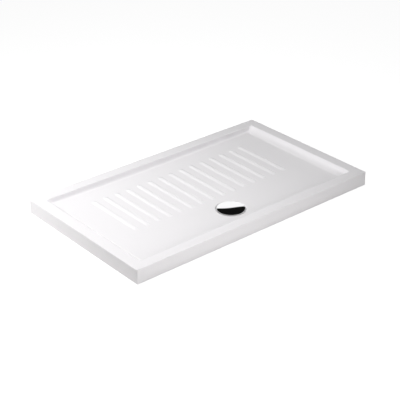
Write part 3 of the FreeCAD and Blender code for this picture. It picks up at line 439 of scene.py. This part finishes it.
def wall_inset(z, floor, lean, cove):
    """How far inside the mouth a wall's surface is at a height, with its rounded top and its cove."""
    slope = math.pi / 2 - lean
    inset = (HEIGHT - z) * math.tan(lean)
    turn = MOUTH_EDGE * math.tan(slope / 2)
    over = z - HEIGHT + MOUTH_EDGE
    rounded = np.sqrt(np.maximum(MOUTH_EDGE ** 2 - over ** 2, 0)) - turn
    inset = np.where(over > MOUTH_EDGE * math.cos(slope), rounded, inset)
    touch = floor + cove * (1 - math.cos(slope))
    foot = (HEIGHT - touch) * math.tan(lean) + cove * math.sin(slope)
    curved = foot - np.sqrt(np.maximum(cove ** 2 - (floor + cove - z) ** 2, 0))
    return np.where(z < touch, curved, inset)


def basin_height(x, y):
    """The lowest height at which a point is inside the basin, found by halving the range."""
    low = floor_height(x, y)
    high = np.full_like(low, HEIGHT)
    floor = low.copy()

    def outside(z):
        half_x = MOUTH[0] - wall_inset(z, floor, **END_WALL) - BASIN_CORNER
        half_y = MOUTH[1] - wall_inset(z, floor, **LONG_WALL) - BASIN_CORNER
        across, along = np.abs(x) - half_x, np.abs(y) - half_y
        beyond = np.hypot(np.maximum(across, 0), np.maximum(along, 0))
        return beyond + np.minimum(np.maximum(across, along), 0) > BASIN_CORNER

    on_floor = ~outside(low + TINY)
    on_rim = outside(high)
    for _ in range(HALVINGS):
        middle = (low + high) / 2
        above = outside(middle)
        low, high = np.where(above, middle, low), np.where(above, high, middle)
    return np.where(on_floor, floor, np.where(on_rim, HEIGHT, high))


print("floor at the basin's far end, mm:", round(float(floor_height(-MOUTH[0], MOUTH[1])), 1))

# %% [markdown]
# ### The ribs
#
# The ribs keep a foot from slipping. Each is a round bar with round ends that follows the floor and
# is sunk into it until only its crown stands out. Here that is one more height, the higher of bar
# and floor, and where the two are close it is raised a little, which gives the glaze's soft foot.

# %% Let the ribs swell out of the floor
RIB_COUNT, RIB_PITCH, RIB_HEIGHT, RIB_CROWN = 15, 56.0, 2.5, 26.0
RIB_HALF_WIDTH = math.sqrt(2 * RIB_CROWN * RIB_HEIGHT - RIB_HEIGHT ** 2)
RIB_FRONT = DRAIN_Y + RECESS + 36.5 + RIB_HALF_WIDTH
RIB_BACK = MOUTH[1] - 93.0 - RIB_HALF_WIDTH
RIB_FOOT = 1.0              # how softly a rib grows out of the floor


def ribbed_height(x, y):
    """The basin with its ribs: round bars with round ends, sunk until only their crowns stand out."""
    ground = basin_height(x, y)
    surface = ground.copy()
    for index in range(RIB_COUNT):
        middle = (index - (RIB_COUNT - 1) / 2) * RIB_PITCH
        ends = [floor_height(np.array(middle), np.array(end)) for end in (RIB_FRONT, RIB_BACK)]
        along = np.clip(y, RIB_FRONT, RIB_BACK)
        axis = ends[0] + (ends[1] - ends[0]) * (along - RIB_FRONT) / (RIB_BACK - RIB_FRONT)
        away = np.hypot(x - middle, y - along)
        bar = axis + RIB_HEIGHT - RIB_CROWN + np.sqrt(np.maximum(RIB_CROWN ** 2 - away ** 2, 0))
        soft = np.maximum(RIB_FOOT - np.abs(bar - ground), 0) ** 2 / (4 * RIB_FOOT)
        surface = np.maximum(surface, np.maximum(bar, ground) + soft)
    return surface


print("rib:", round(2 * RIB_HALF_WIDTH, 1), "mm wide, from y", round(RIB_FRONT, 1), "to", round(RIB_BACK, 1))

# %% [markdown]
# ### The grid's lines
#
# Where the lines run is the whole craft of this mesh. Across a rib they are 1 to 3 mm apart, on the
# cove 3 mm, on the flat rim there are none, and round the drain a square of even lines waits for
# the round recess.

# %% Choose the lines
DRAIN_SQUARE = 84.0         # half its side
SQUARE_ROWS = 16
RIB_STEPS = 12              # rows along a rib


def both_ways(lines):
    return sorted({round(sign * line, 4) for line in lines for sign in (1, -1)})


ribs_on_one_side = range(RIB_COUNT // 2 + 1)
rib_offsets = [0, 2.5, 5, 7.2, 9, 10.4, 11.6, 13]
half = [index * RIB_PITCH + sign * offset for index in ribs_on_one_side
        for offset in rib_offsets for sign in (1, -1)]
half += [(index + 0.5) * RIB_PITCH for index in ribs_on_one_side]
half += list(range(435, 510, 15))       # the plain floor between the last rib and the cove
end_insets = [40, 37.3, 34, 30.5, 27, 23.5, 20, 16.5, 13.5, 11, 8.5, 6.5, 4.5, 3, 2, 1.3, 0.7, 0,
              -0.7, -1.4, -2.05]
half += [MOUTH[0] - inset for inset in end_insets] + [LENGTH / 2]
x_lines = both_ways([line for line in half if line >= 0])

long_insets = [-3.08, -2.3, -1.5, -0.8, 0, 0.4, 0.8, 1.6, 2.8, 4, 5, 6, 7.3, 8.8, 10.5, 12.6, 14.9, 18]
wall_rows = [MOUTH[1] - inset for inset in long_insets] + [DEPTH / 2]
square_low, square_high = DRAIN_Y - DRAIN_SQUARE, DRAIN_Y + DRAIN_SQUARE
square_rows = [square_low + (square_high - square_low) * row / SQUARE_ROWS for row in range(SQUARE_ROWS + 1)]
tip = [0, 3, 5.5, 7.5, 9.2, 10.5, 11.6, 13]
rib_rows = [RIB_FRONT - step for step in tip] + [RIB_BACK + step for step in tip]
rib_rows += [RIB_FRONT + tip[1], RIB_BACK - tip[1]]
rib_rows += [RIB_FRONT + (RIB_BACK - RIB_FRONT) * part / RIB_STEPS for part in range(1, RIB_STEPS)]
plain_rows = [-275, 222, 238, 254, 270]
y_lines = sorted({round(row, 4) for row in wall_rows + [-row for row in wall_rows] + square_rows
                  + rib_rows + plain_rows})
print("lines:", len(x_lines), "along x and", len(y_lines), "along y")

# %% [markdown]
# ### Raise the grid
#
# A plain grid primitive has the right number of lines. Each of its points is sent to the crossing
# that it stands for, and up to the height there.

# %% Make the glazed top
bpy.ops.mesh.primitive_grid_add(size=1, x_subdivisions=len(x_lines) - 1, y_subdivisions=len(y_lines) - 1)
tray = bpy.context.active_object
tray.name = "fireclay_tray"
places = np.empty(len(tray.data.vertices) * 3)
tray.data.vertices.foreach_get("co", places)
places = places.reshape(-1, 3)
columns = np.rint((places[:, 0] + 0.5) * (len(x_lines) - 1)).astype(int)
rows = np.rint((places[:, 1] + 0.5) * (len(y_lines) - 1)).astype(int)
places[:, 0] = np.array(x_lines)[columns]
places[:, 1] = np.array(y_lines)[rows]
places[:, 2] = ribbed_height(places[:, 0], places[:, 1])
tray.data.vertices.foreach_set("co", (places * MM).ravel())
tray.data.update()
print("top:", len(tray.data.polygons), "faces")

# %% [markdown]
# ### The drain's recess
#
# The faces inside the square round the drain are deleted. The edge that is left is extruded again
# and again, and each new ring is sent to a circle: along the floor, over the glazed edge, down the
# wall and in over the ledge. The middle of the ledge is closed for now, and the hole is cut later.

# %% Tools for edit mode
def pick(kind, test):
    """In edit mode, select only the faces, edges or vertices that pass a test."""
    bpy.ops.mesh.select_mode(type={"faces": "FACE", "edges": "EDGE", "verts": "VERT"}[kind])
    bpy.ops.mesh.select_all(action="DESELECT")
    mesh = bmesh.from_edit_mesh(bpy.context.active_object.data)
    for element in getattr(mesh, kind):
        if test(element):
            element.select_set(True)
    mesh.select_flush(True)
    bmesh.update_edit_mesh(bpy.context.active_object.data)


def middle_of(element):
    return sum((vertex.co for vertex in element.verts), Vector()) / len(element.verts) / MM


def ring_to(radius, height=None):
    """Extrude the selected edges and send the new ring to a circle round the drain."""
    bpy.ops.mesh.extrude_region_move()
    mesh = bmesh.from_edit_mesh(bpy.context.active_object.data)
    for vertex in mesh.verts:
        if vertex.select:
            away = Vector((vertex.co.x, vertex.co.y - DRAIN_Y * MM)).normalized() * radius
            level = floor_height(away.x, away.y + DRAIN_Y) if height is None else height
            vertex.co = Vector((away.x, away.y + DRAIN_Y, level)) * MM
    bmesh.update_edit_mesh(bpy.context.active_object.data)


def in_square(place, slack=0.0):
    return abs(place.x) < DRAIN_SQUARE + slack and abs(place.y - DRAIN_Y) < DRAIN_SQUARE + slack


print("square that is cut out, mm:", 2 * DRAIN_SQUARE)

# %% [markdown]
# With these tools the recess is a short list of rings: two on the floor, six round the glazed edge,
# and four that give the wall's foot and the ledge.

# %% Cut and shape the recess
LEDGE = 20.0                # height of the ledge that carries the waste
RECESS_EDGE = 2.5
HOLE = 45.0                 # radius of the waste hole
FLOOR_RINGS = (78, 71)      # radii of the rings between the square and the recess
EDGE_ANGLES = (0, 18, 36, 54, 72, 90)
CREASE = 0.8                # a ring this close to the crease keeps it crisp
HOLE_MARGIN = 3             # the ledge is modelled a little past the hole

select_only(tray)
bpy.ops.object.mode_set(mode="EDIT")
pick("faces", lambda face: in_square(middle_of(face)))
bpy.ops.mesh.delete(type="FACE")
pick("edges", lambda edge: edge.is_boundary and in_square(middle_of(edge), slack=1))
edge_top = float(floor_height(0, DRAIN_Y + RECESS + RECESS_EDGE))
for radius in FLOOR_RINGS:
    ring_to(radius)
for angle in map(math.radians, EDGE_ANGLES):
    ring_to(RECESS + RECESS_EDGE * (1 - math.sin(angle)), edge_top - RECESS_EDGE * (1 - math.cos(angle)))
for radius, level in ((RECESS, LEDGE + CREASE), (RECESS, LEDGE), (RECESS - CREASE, LEDGE),
                      (HOLE + HOLE_MARGIN, LEDGE)):
    ring_to(radius, level)
bpy.ops.mesh.edge_face_add()
print("recess:", 2 * RECESS, "mm across")

# %% [markdown]
# ### The sides
#
# The outer edge of the grid is extruded straight down. The four upright corners are bevelled, then
# the sharp edge all round the rim, and the open bottom is filled with one face.

# %% Make the sides and the bottom
OUTER_CORNER = 5.0
RIM_EDGE = 3.0
CLOSE = 0.01                # two lengths this near to each other count as the same


def on_ends(vertex):
    return abs(abs(vertex.co.x) / MM - LENGTH / 2) < CLOSE


def on_long_sides(vertex):
    return abs(abs(vertex.co.y) / MM - DEPTH / 2) < CLOSE


def on_outline(vertex):
    return on_ends(vertex) or on_long_sides(vertex)


pick("edges", lambda edge: edge.is_boundary and all(on_outline(vertex) for vertex in edge.verts))
bpy.ops.mesh.extrude_region_move(TRANSFORM_OT_translate={"value": (0, 0, -HEIGHT * MM)})
bpy.ops.mesh.edge_face_add()
pick("edges", lambda edge: abs(edge.verts[0].co.z - edge.verts[1].co.z) > HEIGHT / 2 * MM
     and on_ends(edge.verts[0]) and on_long_sides(edge.verts[0]))
bpy.ops.mesh.bevel(offset=OUTER_CORNER * MM, segments=5, affect="EDGES")
pick("edges", lambda edge: min(vertex.co.z for vertex in edge.verts) > (HEIGHT - CLOSE) * MM
     and edge.calc_face_angle(0) > 1)
bpy.ops.mesh.bevel(offset=RIM_EDGE * MM, segments=4, affect="EDGES")
bpy.ops.mesh.select_all(action="SELECT")
bpy.ops.mesh.normals_make_consistent(inside=False)
bpy.ops.object.mode_set(mode="OBJECT")
tray.data.materials.append(FINISHES["glazed_fireclay"])
print("solid:", len(tray.data.polygons), "faces")

# %% [markdown]
# ### The hollow underside
#
# Fireclay is cast thin so that it dries evenly: under the floor it has rooms between webs, and a
# thick ring round the waste hole. Each room is a box whose ceiling follows the floor, 12 mm lower.
# All the rooms are cut out at once, and the waste's room and the hole after them. The cutters are
# given the raw clay's finish.

# %% Tools for the cutters
FLOOR_THICKNESS = 12.0
BELOW = 5.0                 # cutters start this far under the tray


def ceiling_height(x, y):
    return floor_height(x, y) - FLOOR_THICKNESS


def finished(piece, name):
    """Name a piece and put its place into its mesh."""
    piece.name = name
    select_only(piece)
    bpy.ops.object.transform_apply(location=True, rotation=True, scale=True)
    return piece


def raise_to_ceiling(piece):
    for vertex in piece.data.vertices:
        if vertex.co.z > 0:
            vertex.co.z = ceiling_height(vertex.co.x / MM, vertex.co.y / MM) * MM


def box_between(low, high, name):
    """A box from its two plan corners in millimetres, from below the tray up to the ceiling."""
    bpy.ops.mesh.primitive_cube_add(
        size=1, location=((low[0] + high[0]) / 2 * MM, (low[1] + high[1]) / 2 * MM, 0),
        scale=((high[0] - low[0]) * MM, (high[1] - low[1]) * MM, 2 * BELOW * MM))
    box = finished(bpy.context.active_object, name)
    raise_to_ceiling(box)
    return box


def cylinder_between(radius, low, high, name):
    bpy.ops.mesh.primitive_cylinder_add(vertices=128, radius=radius * MM, depth=(high - low) * MM,
                                        location=(0, DRAIN_Y * MM, (low + high) / 2 * MM))
    return finished(bpy.context.active_object, name)


def cut(piece, tool, operation="DIFFERENCE"):
    """Apply a boolean of two closed meshes, and delete the tool."""
    select_only(piece)
    modifier = piece.modifiers.new("cut", "BOOLEAN")
    modifier.operation = operation
    modifier.solver = "MANIFOLD"
    modifier.object = tool
    bpy.ops.object.modifier_apply(modifier="cut")
    bpy.data.objects.remove(tool)


print("ceiling over the drain, mm:", round(float(ceiling_height(0, DRAIN_Y)), 1))

# %% [markdown]
# The rooms are laid out between the outer wall and the webs and joined into one cutter. The waste's
# round room and its outlet's room are added to it, and the thick ring is kept out of it.

# %% Cut the hollows
SKIRT = 16.0                # thickness of the outer wall
WEB = 10.0                  # and of the walls between the rooms
CELLS = (10, 6)
BOSS = 70.5                 # radius of the thick ring, and the height where it starts
BOSS_UNDER = 8.0
ROOM = 74.5                 # radius of the waste's room
OUTLET_ROOM = (33.5, 106.2)  # half the width of the outlet's room, and how far back it goes

pitch = [(full - 2 * SKIRT + WEB) / count for full, count in zip((LENGTH, DEPTH), CELLS)]
cells = []
for column in range(CELLS[0]):
    for row in range(CELLS[1]):
        low = [(number - count / 2) * step + WEB / 2
               for number, count, step in zip((column, row), CELLS, pitch)]
        cells.append(box_between(low, [corner + step - WEB for corner, step in zip(low, pitch)], "cell"))
bpy.ops.object.select_all(action="DESELECT")
for cell in cells:
    cell.select_set(True)
bpy.context.view_layer.objects.active = cells[0]
bpy.ops.object.join()
hollows = bpy.context.active_object
round_room = cylinder_between(ROOM, -BELOW, BELOW, "round_room")
raise_to_ceiling(round_room)
cut(hollows, round_room, "UNION")
outlet_room = box_between((-OUTLET_ROOM[0], DRAIN_Y), (OUTLET_ROOM[0], DRAIN_Y + OUTLET_ROOM[1]),
                          "outlet_room")
cut(hollows, outlet_room, "UNION")
cut(hollows, cylinder_between(BOSS, BOSS_UNDER, HEIGHT, "boss"))
hollows.data.materials.clear()
hollows.data.materials.append(FINISHES["raw_fireclay"])
cut(tray, hollows)
hole = cylinder_between(HOLE, -BELOW, LEDGE + HOLE_MARGIN, "hole")
hole.data.materials.append(FINISHES["raw_fireclay"])
cut(tray, hole)
print("tray:", len(tray.data.polygons), "faces")

# %% [markdown]
# ### Smooth it and put it in the CAD node's place
#
# Faces that meet at a small angle are shaded as one curve. The weighted normals keep the large flat
# ones flat, so that the rim doesn't darken towards its rounded edges.

# %% Smooth the tray and put it in the CAD node's place
SMOOTH_BELOW = 32           # degrees between two faces

select_only(tray)
bpy.ops.object.shade_smooth_by_angle(angle=math.radians(SMOOTH_BELOW))
weighted = tray.modifiers.new("flat faces stay flat", "WEIGHTED_NORMAL")
weighted.keep_sharp = True
bpy.ops.object.modifier_apply(modifier=weighted.name)
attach(tray, "tray")
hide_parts("tray_body")
loose = [edge for edge in tray.data.edges if edge.is_loose]
print("tray:", len(tray.data.vertices), "vertices,", len(loose), "loose edges")
